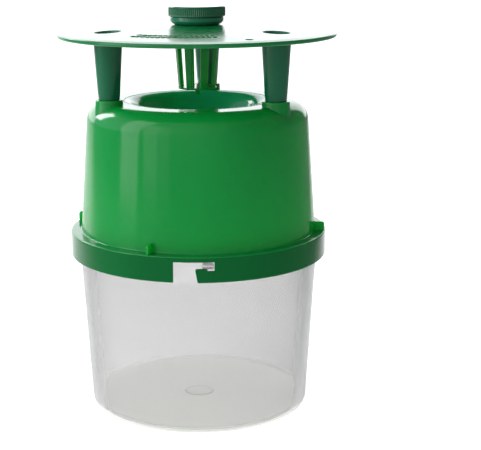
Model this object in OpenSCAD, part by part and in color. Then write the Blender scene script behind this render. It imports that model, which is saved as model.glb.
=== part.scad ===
// Pheromone funnel trap for moths: clear bucket, green funnel housing, raised rain lid
// on three legs, and a lure cage under a screw cap.
// Millimetres. +Z is up, the origin is the centre of the bucket's base, and -Y is the front.

/* [Bucket] */
// Outer radius of the bucket at its base
bucket_base_r = 66.6; // [60:0.2:68]
// Gain in bucket radius for each millimetre of height
bucket_draft = 0.06; // [0.04:0.005:0.065]
// Thickness of the bucket's wall
bucket_wall = 1.3; // [1:0.1:2]
// Thickness of the bucket's floor
bucket_floor = 1.6; // [1.2:0.1:2.5]
// Radius of the corner between floor and wall
bucket_corner = 4; // [2:0.5:8]

/* [Housing] */
// Outer radius of the housing wall where it meets the shelf
wall_base_r = 71.2; // [70.8:0.1:72.5]
// Loss of wall radius for each millimetre of height
wall_taper = 0.0705; // [0.05:0.0025:0.075]
// Height of the flat top of the housing
plateau_z = 187.4; // [180:0.2:195]
// Outer radius of the rounded shoulder
shoulder_r = 12; // [8:0.5:14]
// Thickness of the housing's walls
wall_t = 1.5; // [1:0.1:2]
// Outer radius of the skirt that covers the bucket's rim
skirt_r = 77.5; // [76.5:0.1:80]
// Height of the skirt's top edge, which is the shelf's top face
shelf_z = 109.5; // [109:0.1:111]
// Height of the skirt
skirt_h = 15; // [13:0.5:20]
// Directions of the stiffening ribs on the shelf
rib_angles = [-112, -10.5, 75, 165];

/* [Bayonet] */
// Number of bayonet slots round the skirt
bayonet_count = 3; // [2:1:4]
// Direction of the middle of the front slot
bayonet_angle = -92; // [-100:1:-80]

/* [Funnel] */
// Outer radius of the funnel's rim
rim_r = 44; // [43:0.2:46]
// Radius of the rolled lip
lip_r = 7.5; // [6:0.25:9]
// Angle between the cone and the vertical
cone_angle = 20; // [16:1:24]
// Inner radius of the spout
spout_r = 15; // [12:0.5:18]
// Height of the spout's lower end
spout_z = 110; // [109:1:116]
// Thickness of the funnel's wall
funnel_t = 1.4; // [1:0.1:2]

/* [Lid] */
// Outer radius of the lid
lid_r = 82.5; // [78:0.5:95]
// Height of the lid's upper edge
lid_edge_z = 227.6; // [222:0.2:240]
// Rise of the lid from its edge to its centre
lid_rise = 4.4; // [3:0.2:9]
// Thickness of the lid
lid_t = 2; // [1.5:0.1:3]
// Radius of the hole that the trap hangs from
hang_hole_r = 2.35; // [1.5:0.05:4]
// Place of the hanging hole seen from above
hang_hole_xy = [28.4, -67.1];

/* [Legs] */
// Radius of the circle that the legs stand on
leg_circle_r = 56.1; // [55:0.1:57]
// Directions of the left, right and rear legs
leg_angles = [-156.5, -36.5, 83.5];
// Outer radius of a leg under the lid
leg_top_r = 8.65; // [8.4:0.05:9]
// Outer radius of a leg just above its socket
leg_foot_r = 6.6; // [6.4:0.05:7]
// Height of the sockets' upper ends
socket_z = 190.5; // [189:0.1:193]
// Outer radius of a socket at its upper end
socket_r = 8; // [7.6:0.1:8.4]

/* [Lure cage] */
// Number of bars
bar_count = 8; // [6:1:10]
// Angle that one bar covers
bar_angle = 21; // [14:1:26]
// Direction of the first bar
bar_start = -70.2; // [-90:0.1:-45]
// Outer radius of the cage under the lid
cage_top_r = 14.1; // [13.6:0.1:15]
// Outer radius of the cage at its floor
cage_foot_r = 11.4; // [10:0.1:12.5]
// Height of the underside of the cage's floor
cage_foot_z = 194.2; // [193:0.1:205]

/* [Cap] */
// Outer radius of the knurled cap
cap_r = 16.9; // [16:0.1:20]
// Number of flutes in the knurl
flute_count = 90; // [36:1:120]
// Height of the cap's side
cap_h = 6.1; // [5.5:0.1:9]
// Outer radius of the collar between lid and cap
collar_r = 15.9; // [14:0.1:15.9]
// Height of the collar
collar_h = 4.8; // [3:0.1:6]

/* [Lure vial] */
// Outer radius of the vial
vial_r = 3.8; // [3:0.1:3.9]
// Height of the vial's lower end
vial_z = 218.2; // [205:0.1:224]

/* [Hidden] */
$fn = 180;
eps = 0.01;

bright_green = [0.10, 0.55, 0.24];
dark_green = [0.07, 0.32, 0.18];
frosted = [0.82, 0.83, 0.83, 0.55];
milky = [0.90, 0.91, 0.90];

// Bucket: the standing ring, the step under the rim and the neck above it
foot_inset = 5.6;
foot_h = 1;
neck_step = 0.9;
neck_z = 103;
bucket_top_z = 107.7;
mark_r = 7.5;

// Skirt, shelf and the spigot that centres the housing in the bucket's neck
skirt_t = 1.7;
skirt_bottom_z = shelf_z - skirt_h;
shelf_under_z = shelf_z - 1.6;
spigot_gap = 0.3;
spigot_bottom_z = 104.5;
edge_r = 0.7;
rib_t = 1.4;
rib_h = 5.4;

// Bayonet slot, drawn flat with x along the skirt and z up
slot_left = -11.6;
slot_right = 11.5;
slot_top = shelf_z - 3;
entry_top_x = 0.8;
entry_bottom_x = 2.6;
arm_z = 102.45;
detent_x = 7.7;
detent_z = 101.25;
lug_left = 4.6;
lug_right = 11;
lug_z = [102.65, 105.1];
lug_outer_r = skirt_r - 0.5;

// Recess in the plateau that seats the funnel's rim
recess_gap = 0.25;
recess_floor_z = plateau_z - funnel_t - 0.1;
hole_r = rim_r - 1.3;

// Lid
lid_centre_z = lid_edge_z + lid_rise;
lid_flat_r = 17;
lid_bevel_r = lid_r - 4.5;
lid_bevel_drop = 0.75;
neck_hole_r = 8.3;
lid_hole_r = 12.4;

// Legs and sockets
spigot_r = 6;
socket_bore_r = 6.3;
socket_floor_z = 177;
leg_wall = 1;

// Cage, collar, cap and vial
bar_t = 1.8;
cage_floor_t = 1.1;
cage_ring_z = [226.6, lid_centre_z - lid_t - 0.05];
stud_r = 1.35;
stud_h = 4.2;
collar_bore_r = 10.2;
collar_foot_r = 13;
// Flare of the collar, as shares of its width and of its height
collar_flare = [[0, 0], [0.26, 0.14], [0.57, 0.37], [0.83, 0.65], [1, 1]];
flare_h = 2.1;
cap_z = lid_centre_z + collar_h + 0.15;
cap_dome = 0.5;
cap_dome_r = 11;
plug_r = 10.1;
plug_h = 7.2;
boss_r = 5.6;
boss_bore_r = 4.05;
vial_t = 0.8;
vial_top_z = cap_z - 2;
stopper_r = 4;

// Points along an arc about [x, z]
function arc(x, z, r, a0, a1, n = 8) =
    [for (i = [0:n]) let (a = a0 + (a1 - a0) * i / n) [x + r * cos(a), z + r * sin(a)]];

// Outer radius of the bucket and of the housing wall at a height
function bucket_r(z) = bucket_base_r + bucket_draft * z;
function wall_r(z) = wall_base_r - wall_taper * (z - shelf_z);

// Height of the lid's top face at a radius
function lid_top(r) = r < lid_flat_r ? lid_centre_z
    : lid_centre_z - (r - lid_flat_r) / (lid_bevel_r - lid_flat_r) * (lid_rise - lid_bevel_drop);

// Centre radius of the shoulder's rounding and the direction where it meets the wall
shoulder_end = atan(wall_taper);
shoulder_z = plateau_z - shoulder_r;
shoulder_x = wall_r(shoulder_z) - shoulder_r / cos(shoulder_end);

// Centre radius of the lip's rounding and the point where the cone starts
lip_x = rim_r - 0.4;
lip_z = plateau_z - lip_r;
lip_end = [lip_x - lip_r * cos(cone_angle), lip_z + lip_r * sin(cone_angle)];
throat_z = lip_end[1] - (lip_end[0] - spout_r) / tan(cone_angle);

module at_leg(i) {
    rotate([0, 0, leg_angles[i]]) translate([leg_circle_r, 0, 0]) children();
}

module each_bayonet() {
    for (i = [0:bayonet_count - 1]) rotate([0, 0, bayonet_angle + i * 360 / bayonet_count]) children();
}

module bucket_outline(inset, floor_z, top_z) {
    r = max(bucket_corner - inset, 0.5);
    polygon(concat([[0, floor_z]],
        arc(bucket_r(floor_z + r) - inset - r, floor_z + r, r, -90, 0),
        [[bucket_r(neck_z) - inset, neck_z]],
        [[bucket_r(neck_z) - inset - neck_step, neck_z], [bucket_r(neck_z) - inset - neck_step, top_z],
         [0, top_z]]));
}

module bucket() {
    color(frosted) union() {
        difference() {
            rotate_extrude() bucket_outline(0, 0, bucket_top_z);
            rotate_extrude() bucket_outline(bucket_wall, bucket_floor + foot_h, bucket_top_z + 1);
            translate([0, 0, -1]) cylinder(r = bucket_base_r - foot_inset, h = 1 + foot_h);
        }
        translate([0, 0, bucket_floor + foot_h - eps]) cylinder(r = mark_r, h = 0.5);
        each_bayonet() bayonet_lug();
    }
}

module bayonet_lug() {
    inner_r = bucket_r(neck_z) - bucket_wall;
    intersection() {
        translate([inner_r, lug_left, lug_z[0]])
            cube([skirt_r - inner_r, lug_right - lug_left, lug_z[1] - lug_z[0]]);
        difference() {
            cylinder(r = lug_outer_r, h = 200);
            translate([0, 0, -1]) cylinder(r = inner_r + 0.2, h = 202);
        }
    }
}

// Half section of the housing: spigot, shelf, skirt, wall, shoulder and rim recess
module housing_section() {
    inner_shoulder_r = shoulder_r - wall_t;
    spigot_r = bucket_r(neck_z) - bucket_wall - neck_step - spigot_gap;
    polygon(concat(
        [[spigot_r, spigot_bottom_z], [spigot_r, shelf_under_z], [skirt_r - skirt_t, shelf_under_z],
         [skirt_r - skirt_t, skirt_bottom_z]],
        arc(skirt_r - edge_r, skirt_bottom_z + edge_r, edge_r, -90, 0, 4),
        arc(skirt_r - edge_r, shelf_z - edge_r, edge_r, 0, 90, 4),
        [[wall_base_r, shelf_z]],
        arc(shoulder_x, shoulder_z, shoulder_r, shoulder_end, 90, 12),
        [[rim_r + recess_gap, plateau_z], [rim_r + recess_gap, recess_floor_z], [hole_r, recess_floor_z],
         [hole_r, recess_floor_z - wall_t], [rim_r + recess_gap + wall_t, recess_floor_z - wall_t],
         [rim_r + recess_gap + wall_t, plateau_z - wall_t]],
        arc(shoulder_x, shoulder_z, inner_shoulder_r, 90, shoulder_end, 12),
        [[spigot_r - wall_t, shelf_z], [spigot_r - wall_t, spigot_bottom_z]]));
}

module funnel_housing() {
    color(bright_green) difference() {
        union() {
            rotate_extrude() housing_section();
            for (i = [0:2]) at_leg(i) leg_socket();
            for (a = rib_angles) rotate([0, 0, a]) shelf_rib();
        }
        for (i = [0:2]) at_leg(i) translate([0, 0, socket_floor_z])
            cylinder(r = socket_bore_r, h = 40, $fn = 64);
        each_bayonet() bayonet_slot();
    }
}

// Socket for a leg: a flared boss above the shoulder and a blind tube below it
module leg_socket() {
    translate([0, 0, 181]) cylinder(r1 = socket_r + 0.7, r2 = socket_r, h = socket_z - 181, $fn = 64);
    translate([0, 0, socket_floor_z - wall_t]) cylinder(r = socket_bore_r + 1.2, h = 8, $fn = 64);
}

// Upright rib between the shelf and the wall, with a rounded outer corner
module shelf_rib() {
    corner = 1.5;
    outer = skirt_r - 0.3;
    inner = wall_r(shelf_z + rib_h) - 0.8;
    rotate([90, 0, 0]) translate([0, 0, -rib_t / 2]) linear_extrude(rib_t)
        polygon(concat([[inner, shelf_z - 0.5], [outer - edge_r, shelf_z - 0.5], [outer, shelf_z + 0.4]],
            arc(outer - corner, shelf_z + rib_h - corner, corner, 0, 90, 5),
            [[inner, shelf_z + rib_h]]));
}

module bayonet_slot() {
    translate([skirt_r - 4, 0, 0]) rotate([90, 0, 90]) linear_extrude(8)
        polygon([[slot_left, skirt_bottom_z - 1], [slot_left, slot_top], [slot_right, slot_top],
                 [slot_right, detent_z], [detent_x, detent_z], [detent_x, arm_z],
                 [entry_top_x + 0.6, arm_z], [entry_top_x + 0.1, arm_z - 0.6],
                 [entry_bottom_x, skirt_bottom_z - 1]]);
}

module funnel_section() {
    polygon(concat(
        [[rim_r, plateau_z]],
        arc(lip_x, lip_z, lip_r, 90, 180 - cone_angle, 10),
        [[spout_r, throat_z], [spout_r, spout_z], [spout_r + funnel_t, spout_z],
         [spout_r + funnel_t, throat_z]],
        arc(lip_x, lip_z, lip_r - funnel_t, 180 - cone_angle, 90, 10),
        [[rim_r, plateau_z - funnel_t]]));
}

module funnel_cone() {
    color(bright_green) rotate_extrude() funnel_section();
}

// Space under the lid's top face, and the same moved down by the lid's thickness
module under_lid(down, r = lid_r + 10) {
    translate([0, 0, -down]) rotate_extrude()
        polygon([[0, 100], [0, lid_centre_z], [lid_flat_r, lid_centre_z], [r, lid_top(r)], [r, 100]]);
}

module lid() {
    color(bright_green) difference() {
        rotate_extrude() polygon(concat(
            [[0, lid_centre_z - lid_t], [0, lid_centre_z], [lid_flat_r, lid_centre_z],
             [lid_bevel_r, lid_top(lid_bevel_r)], [lid_r - 0.6, lid_edge_z]],
            arc(lid_r - 0.7, lid_edge_z - 0.8, 0.7, 60, 0, 3),
            arc(lid_r - 0.7, lid_edge_z - 1.6, 0.7, 0, -90, 4),
            [[lid_r - 2.4, lid_edge_z - 2.3], [lid_r - 3, lid_top(lid_bevel_r) - lid_t - 0.3],
             [lid_bevel_r - 1, lid_top(lid_bevel_r - 1) - lid_t],
             [lid_flat_r, lid_centre_z - lid_t]]));
        translate([0, 0, 200]) cylinder(r = lid_hole_r, h = 60);
        for (i = [0:2]) at_leg(i) translate([0, 0, 200]) cylinder(r = neck_hole_r, h = 60, $fn = 64);
        translate([hang_hole_xy[0], hang_hole_xy[1], 200]) cylinder(r = hang_hole_r, h = 60, $fn = 48);
    }
}

// Hollow tapered leg: shaft cut to the lid's underside, a neck in the lid's hole and a foot spigot
module leg(i) {
    lid_z = lid_top(leg_circle_r);
    bead_z = socket_z + 3.4;
    color(dark_green) difference() {
        union() {
            intersection() {
                at_leg(i) rotate_extrude($fn = 96)
                    polygon([[0, socket_floor_z + 0.1], [spigot_r - 0.5, socket_floor_z + 0.1],
                             [spigot_r, socket_floor_z + 1], [spigot_r, socket_z + 0.05],
                             [leg_foot_r - 0.4, socket_z + 0.05], [leg_foot_r - 0.1, bead_z - 0.6],
                             [leg_foot_r, bead_z], [leg_top_r, lid_z - lid_t - 1.5],
                             [leg_top_r, lid_z], [0, lid_z]]);
                under_lid(lid_t + 0.02);
            }
            intersection() {
                at_leg(i) translate([0, 0, lid_z - 6]) cylinder(r = neck_hole_r - 0.02, h = 12, $fn = 96);
                under_lid(0.15);
            }
        }
        at_leg(i) rotate_extrude($fn = 96)
            polygon([[0, socket_floor_z + 1.5], [spigot_r - leg_wall, socket_floor_z + 1.5],
                     [spigot_r - leg_wall, bead_z], [neck_hole_r - 0.75, lid_z - 3],
                     [neck_hole_r - 0.55, lid_z + 5], [0, lid_z + 5]]);
    }
}

module leg_left() {
    leg(0);
}

module leg_right() {
    leg(1);
}

module leg_rear() {
    leg(2);
}

// Tapered cage: a conical shell cut into bars by wedges, with a floor and a stud below it
module lure_cage() {
    ring_z = cage_ring_z[0];
    top_z = cage_ring_z[1];
    floor_z = cage_foot_z + cage_floor_t;
    gap_angle = 360 / bar_count - bar_angle;
    reach = 2 * cage_top_r;
    color(bright_green) union() {
        difference() {
            rotate_extrude() polygon([[0, cage_foot_z], [cage_foot_r, cage_foot_z], [cage_top_r, top_z],
                                      [lid_hole_r - 0.1, top_z], [lid_hole_r - 0.1, ring_z],
                                      [cage_foot_r - bar_t, floor_z], [0, floor_z]]);
            for (i = [0:bar_count - 1]) rotate([0, 0, bar_start + (i + 0.5) * 360 / bar_count])
                translate([0, 0, floor_z]) linear_extrude(ring_z - floor_z)
                    polygon([[0, 0], reach * [cos(gap_angle / 2), -sin(gap_angle / 2)],
                             reach * [cos(gap_angle / 2), sin(gap_angle / 2)]]);
        }
        translate([0, 0, cage_foot_z - stud_h]) cylinder(r = stud_r, h = stud_h + 0.5, $fn = 48);
    }
}

// Neck ring that clamps the cage to the lid and carries the cap's thread
module cage_collar() {
    top_z = lid_centre_z + collar_h;
    spigot_r = lid_hole_r - 0.15;
    color(dark_green) rotate_extrude()
        polygon(concat([[collar_bore_r, cage_ring_z[0] + 0.4], [spigot_r, cage_ring_z[0] + 0.4],
                        [spigot_r, lid_centre_z + 0.05]],
            [for (p = collar_flare) [collar_foot_r + (collar_r - collar_foot_r) * p[0],
                                     lid_centre_z + 0.05 + flare_h * p[1]]],
            [[collar_r, top_z - 0.4], [collar_r - 0.4, top_z], [collar_bore_r, top_z]]));
}

// Knurled cap with a plug that turns in the collar and a boss that holds the vial's stopper
module cage_cap() {
    top_z = cap_z + cap_h;
    skirt_in_r = 14.8;
    roof_z = top_z - 1.8;
    dome_r = (pow(cap_dome_r, 2) + cap_dome * cap_dome) / (2 * cap_dome);
    dome_a = asin(cap_dome_r / dome_r);
    color(dark_green) difference() {
        union() {
            translate([0, 0, cap_z]) linear_extrude(cap_h - 0.4)
                polygon([for (i = [0:2 * flute_count - 1]) let (a = i * 180 / flute_count)
                    (cap_r - (i % 2) * 0.4) * [cos(a), sin(a)]]);
            rotate_extrude() polygon(concat([[0, top_z - 1], [cap_r - 0.5, top_z - 1],
                                             [cap_r - 0.5, top_z - 0.3], [cap_r - 0.8, top_z]],
                arc(0, top_z + cap_dome - dome_r, dome_r, 90 - dome_a, 90, 8)));
            translate([0, 0, cap_z - plug_h]) cylinder(r = plug_r, h = plug_h + 2);
        }
        rotate_extrude() polygon([[plug_r, cap_z - eps], [skirt_in_r, cap_z - eps], [skirt_in_r, roof_z],
                                  [plug_r, roof_z]]);
        rotate_extrude() polygon([[boss_r, cap_z - plug_h - 1], [plug_r - 1.5, cap_z - plug_h - 1],
                                  [plug_r - 1.5, roof_z], [boss_r, roof_z]]);
        translate([0, 0, cap_z - plug_h - 1]) cylinder(r = boss_r + eps, h = plug_h - 2.8);
        translate([0, 0, cap_z - 6]) cylinder(r = boss_bore_r, h = 9.6, $fn = 64);
    }
}

module lure_vial() {
    color(milky) difference() {
        rotate_extrude($fn = 64)
            polygon(concat([[0, vial_z]], arc(vial_r - 1.6, vial_z + 1.6, 1.6, -90, 0, 6),
                [[vial_r, vial_top_z], [0, vial_top_z]]));
        translate([0, 0, vial_z + vial_t]) cylinder(r = vial_r - vial_t, h = 40, $fn = 64);
    }
}

module vial_stopper() {
    color(milky) rotate_extrude($fn = 64)
        polygon([[0, vial_top_z - 4], [vial_r - vial_t - 0.3, vial_top_z - 4],
                 [vial_r - vial_t - 0.02, vial_top_z - 3.4], [vial_r - vial_t - 0.02, vial_top_z + 0.02],
                 [stopper_r, vial_top_z + 0.02], [stopper_r, cap_z + 3.2], [stopper_r - 0.3, cap_z + 3.5],
                 [0, cap_z + 3.5]]);
}

bucket();
funnel_housing();
funnel_cone();
lid();
leg_left();
leg_right();
leg_rear();
lure_cage();
cage_collar();
cage_cap();
lure_vial();
vial_stopper();
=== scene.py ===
"""Looks of the pheromone funnel trap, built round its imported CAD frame.

Outlines are in millimetres, as (radius, height) pairs, and every mesh is in metres: +Z up, -Y front.
"""

import math

import bmesh
import bpy
from mathutils import Matrix, Vector


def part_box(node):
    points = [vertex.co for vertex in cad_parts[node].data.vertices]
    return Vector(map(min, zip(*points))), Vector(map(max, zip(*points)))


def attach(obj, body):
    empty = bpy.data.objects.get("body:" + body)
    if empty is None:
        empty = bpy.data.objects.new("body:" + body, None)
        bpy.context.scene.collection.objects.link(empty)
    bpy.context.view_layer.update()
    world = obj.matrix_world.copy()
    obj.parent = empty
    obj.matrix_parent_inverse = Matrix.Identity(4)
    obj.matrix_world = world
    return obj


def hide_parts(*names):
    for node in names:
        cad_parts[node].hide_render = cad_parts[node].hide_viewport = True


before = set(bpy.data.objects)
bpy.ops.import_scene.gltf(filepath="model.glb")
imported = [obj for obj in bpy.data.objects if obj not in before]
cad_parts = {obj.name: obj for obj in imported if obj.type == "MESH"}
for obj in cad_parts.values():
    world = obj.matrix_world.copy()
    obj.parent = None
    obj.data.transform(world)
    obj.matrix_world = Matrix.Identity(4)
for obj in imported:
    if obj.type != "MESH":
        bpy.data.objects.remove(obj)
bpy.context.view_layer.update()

MM = 0.001
TURN = 2 * math.pi


def mm_box(cad_node):
    """Lowest and highest corner of a CAD node in millimetres."""
    low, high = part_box(cad_node)
    return low / MM, high / MM


# ---------------------------------------------------------------- sizes, in millimetres and degrees
# Bucket: drafted wall, stepped neck, standing ring round a raised floor
BUCKET_TOP = mm_box("bucket")[1].z
BUCKET_BASE_R = 66.6
BUCKET_DRAFT = 0.06
BUCKET_WALL = 1.3
BUCKET_CORNER = 4
NECK_Z = 103.0
NECK_STEP = 0.9
FOOT_INSET = 5.6
FOOT_H = 1
FLOOR_TOP = 2.6
FLOOR_FILLET = 2.7
# Rings of painted shade where the floor thickens: at its rim and in its mark
FLOOR_RIM_R = 64.0
MARK_RING_R = 8.0
# Moulding mark in the middle of the floor: radius, height above the floor, and rounding
FLOOR_MARK = ((9, 0, 0.3), (8.6, 0.45, 0.2), (7.4, 0.45, 0.3), (6.8, 0.15, 0.3), (3.2, 0.5, 1.5),
              (0, 0.55, 0))

# Housing: skirt over the bucket's rim, shelf, drafted wall, spigot inside the bucket's neck
HOUSING_LOW, HOUSING_HIGH = mm_box("funnel_housing")
SKIRT_R = HOUSING_HIGH.x
SKIRT_BOTTOM = HOUSING_LOW.z
SKIRT_H = 15
SKIRT_T = 1.7
SHELF_Z = SKIRT_BOTTOM + SKIRT_H
SHELF_T = 1.6
WALL_BASE_R = 71.2
WALL_TAPER = 0.0705
WALL_T = 1.5
SHOULDER_R = 12
SPIGOT_BOTTOM = 104.5
SPIGOT_GAP = 0.3
RECESS_GAP = 0.25
RECESS_PLAY = 0.1
HOLE_INSET = 1.3
RIB_ANGLES = (-112, -10.5, 75, 165)
RIB_T = 1.4
RIB_H = 5.4

# Bayonet lock: lugs on the bucket, and slots in the skirt with an entry, an arm and a step at its end
BAYONETS = 3
BAYONET_ANGLE = -92.0
LUG_LEFT = 4.6
LUG_RIGHT = 11
LUG_LOW = 102.65
LUG_HIGH = 105.1
LUG_OUTER_R = SKIRT_R - 0.5
SLOT_LEFT = -11.6
SLOT_RIGHT = 11.5
SLOT_TOP = SHELF_Z - 3
SLOT_CUT_LOW = 92
ENTRY_TOP_X = 0.8
ENTRY_LOW_X = 2.6
ARM_Z = 102.45
DETENT_X = 7.7
DETENT_Z = 101.25

# Funnel: rolled lip, cone and spout
FUNNEL_LOW, FUNNEL_HIGH = mm_box("funnel_cone")
PLATEAU_Z = FUNNEL_HIGH.z
RIM_R = FUNNEL_HIGH.x
LIP_R = 7.5
LIP_INSET = 0.4
CONE_ANGLE = 20
SPOUT_R = 15.0
FUNNEL_T = 1.4

# Lid: flat middle, shallow cone, turned-down rim
LID_LOW, LID_HIGH = mm_box("lid")
LID_R = LID_HIGH.x
LID_TOP = LID_HIGH.z
LID_T = 2.0
LID_FLAT_R = 17.0
LID_BEVEL_R = LID_R - 4.5
LID_BEVEL_DROP = 0.75
LID_RIM_H = 2.3
LID_EDGE_Z = LID_LOW.z + LID_RIM_H
LID_HOLE_R = 12.4
HANG_HOLE_R = 2.35
HANG_HOLE = (28.4, -67.1)
LID_CUT_LOW = 200
LID_CUT_HIGH = 250
# Raised bars on the lid: radius, number of bars and step of each row
BAR_ROWS = ((60.5, 16, 3.0), (54.8, 15, 3.2))
ROW_START = -125.5
MARK_BAR_W = 2.2
MARK_BAR_L = 3.2
MARK_BAR_RISE = 0.35
MARK_BAR_ROOT = 0.4
MARK_BAR_LEAN = 18

# Legs, and their sockets in the housing's plateau
LEG_CIRCLE_R = 56.1
LEG_ANGLES = {"leg_left": -156.5, "leg_right": -36.5, "leg_rear": 83.5}
LEG_TOP_R = 8.65
LEG_FOOT_R = 6.6
LEG_WALL = 1
LEG_FLOOR_T = 1.4
LEG_BEAD_H = 3.4
SPIGOT_R = 6.0
NECK_HOLE_R = 8.3
NECK_PLAY = 0.03
SOCKET_TOP = HOUSING_HIGH.z
SOCKET_R = 8.0
SOCKET_FOOT_R = 8.75
SOCKET_FOOT_Z = 180
SOCKET_TUBE_R = 7.5
SOCKET_BORE_R = 6.3
SOCKET_FLOOR = 177.0

# Lure cage: floor with a stud, bars up a cone, and a ring under the lid, round its middle hole
CAGE_LOW, CAGE_HIGH = mm_box("lure_cage")
CAGE_FOOT_Z = 194.2
CAGE_FLOOR_T = 1.1
CAGE_RING_Z = 226.6
CAGE_RING_BORE_R = LID_HOLE_R - 0.1
CAGE_TOP_R = 14.1
CAGE_FOOT_R = 11.4
STUD_R = 1.35
BAR_COUNT = 8
BAR_START = -70.2
BAR_ANGLE = 21.0
BAR_T = 1.8
BAR_LEVELS = 14

# Collar: flare on the lid, and a spigot through the lid's middle hole
COLLAR_LOW, COLLAR_HIGH = mm_box("cage_collar")
COLLAR_BORE_R = 10.2
COLLAR_FOOT_R = 13.0
COLLAR_MID_R = 14.65
COLLAR_MID_H = 0.75
COLLAR_FLARE_H = 2.1
COLLAR_PLAY = 0.15

# Cap: fluted skirt, plug in the collar's bore, and a boss that holds the stopper
CAP_LOW, CAP_HIGH = mm_box("cage_cap")
CAP_R = CAP_HIGH.x
CAP_Z = 236.95
CAP_H = 6.1
CAP_ROOF_T = 1.8
CAP_SKIRT_IN_R = 14.8
PLUG_R = 10.1
PLUG_BORE_R = 8.6
BOSS_R = 5.6
BOSS_BORE_R = 4.05
FLUTES = 90
FLUTE_DEPTH = 0.3
FLUTE_FADE = 0.6
SIDE_DEPTH = 0.6
# Heights from CAP_Z, the lower edge of the cap's skirt
BOSS_LOW = -3
BOSS_BORE_TOP = 3.6
FLUTE_LOW = 0.35
FLUTE_HIGH = 5.35
SIDE_RINGS = (5.0, 4.6, 4.2, 1.4, 1.0, 0.7)

# Vial and stopper
VIAL_LOW, VIAL_HIGH = mm_box("lure_vial")
VIAL_WALL = 0.8
STOPPER_LOW, STOPPER_HIGH = mm_box("vial_stopper")
STOPPER_PLAY = 0.02

# Clearance that keeps touching faces apart
SEAT_GAP = 0.05
# Edges sharper than these are bevelled, or stay crisp in the shading
BEVEL_ANGLE = 50
CRISP_ANGLE = 35
BEVEL_SEGMENTS = 3


def bucket_r(z):
    """Outer radius of the bucket's wall at a height."""
    return BUCKET_BASE_R + BUCKET_DRAFT * z


def wall_r(z):
    """Outer radius of the housing's wall at a height."""
    return WALL_BASE_R - WALL_TAPER * (z - SHELF_Z)


def cage_r(z):
    """Outer radius of the cage at a height."""
    slope = (CAGE_TOP_R - CAGE_FOOT_R) / (CAGE_HIGH.z - CAGE_FOOT_Z)
    return CAGE_FOOT_R + slope * (z - CAGE_FOOT_Z)


def lid_top(r):
    """Height of the lid's top face at a radius."""
    if r < LID_FLAT_R:
        return LID_TOP
    fall = LID_TOP - LID_EDGE_Z - LID_BEVEL_DROP
    return LID_TOP - fall * (r - LID_FLAT_R) / (LID_BEVEL_R - LID_FLAT_R)


def polar(r, degrees):
    """Point at a radius and direction seen from above."""
    a = math.radians(degrees)
    return r * math.cos(a), r * math.sin(a)


# ---------------------------------------------------------------- mesh tools
def rounded(corners, steps=5, support=0.3):
    """Outline through corners (x, z, radius), each rounded by an arc with a supporting point beside it."""
    points = []
    for i, (x, z, radius) in enumerate(corners):
        if radius == 0:
            points.append((x, z))
            continue
        here = Vector((x, z))
        before = Vector(corners[i - 1][:2]) - here
        after = Vector(corners[(i + 1) % len(corners)][:2]) - here
        to_before, to_after = before.normalized(), after.normalized()
        angle = to_before.angle(to_after)
        reach = radius / math.tan(angle / 2)
        centre = here + (to_before + to_after).normalized() * (radius / math.sin(angle / 2))
        start, end = here + to_before * reach, here + to_after * reach
        first = math.atan2(*reversed(start - centre))
        last = math.atan2(*reversed(end - centre))
        sweep = (last - first + math.pi) % TURN - math.pi
        count = max(steps, round(steps * radius / 3))
        if before.length > reach + 3 * support:
            points.append(tuple(start + to_before * support))
        for k in range(count + 1):
            a = first + sweep * k / count
            points.append((centre.x + radius * math.cos(a), centre.y + radius * math.sin(a)))
        if after.length > reach + 3 * support:
            points.append(tuple(end + to_after * support))
    return points


def object_from(name, bm):
    """Object made of a bmesh, with its faces turned outwards and shaded smooth."""
    bmesh.ops.recalc_face_normals(bm, faces=bm.faces)
    mesh = bpy.data.meshes.new(name)
    bm.to_mesh(mesh)
    bm.free()
    mesh.shade_smooth()
    obj = bpy.data.objects.new(name, mesh)
    bpy.context.scene.collection.objects.link(obj)
    return obj


def lathe(name, outline, segments=240, centre=(0, 0), phase=0.0, shape=None):
    """Closed solid of revolution. shape may move each vertex: (x, y, z, angle) to (x, y, z)."""
    bm = bmesh.new()
    rings = []
    for r, z in outline:
        if r == 0:
            rings.append([bm.verts.new((centre[0] * MM, centre[1] * MM, z * MM))])
            continue
        ring = []
        for i in range(segments):
            a = TURN * (i + phase) / segments
            x, y, h = centre[0] + r * math.cos(a), centre[1] + r * math.sin(a), z
            if shape:
                x, y, h = shape(x, y, h, a)
            ring.append(bm.verts.new((x * MM, y * MM, h * MM)))
        rings.append(ring)
    for low, high in zip(rings, rings[1:] + rings[:1]):
        if len(low) == 1 and len(high) == 1:
            continue
        for i in range(segments):
            j = (i + 1) % segments
            if len(low) == 1:
                bm.faces.new((low[0], high[j], high[i]))
            elif len(high) == 1:
                bm.faces.new((low[i], low[j], high[0]))
            else:
                bm.faces.new((low[i], low[j], high[j], high[i]))
    return object_from(name, bm)


def prism(name, outline, depth, matrix, bevel=0.0):
    """Outline in (x, z) pushed through from y = 0 to depth, with bevelled edges, then placed by matrix."""
    bm = bmesh.new()
    front = [bm.verts.new((x * MM, 0, z * MM)) for x, z in outline]
    back = [bm.verts.new((x * MM, depth * MM, z * MM)) for x, z in outline]
    bm.faces.new(front)
    bm.faces.new(list(reversed(back)))
    for i in range(len(outline)):
        j = (i + 1) % len(outline)
        bm.faces.new((front[j], front[i], back[i], back[j]))
    if bevel:
        bmesh.ops.recalc_face_normals(bm, faces=bm.faces)
        bmesh.ops.bevel(bm, geom=bm.edges[:], offset=bevel * MM, segments=BEVEL_SEGMENTS,
                        profile=0.5, affect="EDGES", clamp_overlap=True)
    bm.transform(matrix)
    return object_from(name, bm)


def turned(degrees):
    """Matrix that turns about the object's axis."""
    return Matrix.Rotation(math.radians(degrees), 4, "Z")


def shifted(x, y, z=0):
    """Matrix that shifts by millimetres."""
    return Matrix.Translation((x * MM, y * MM, z * MM))


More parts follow.
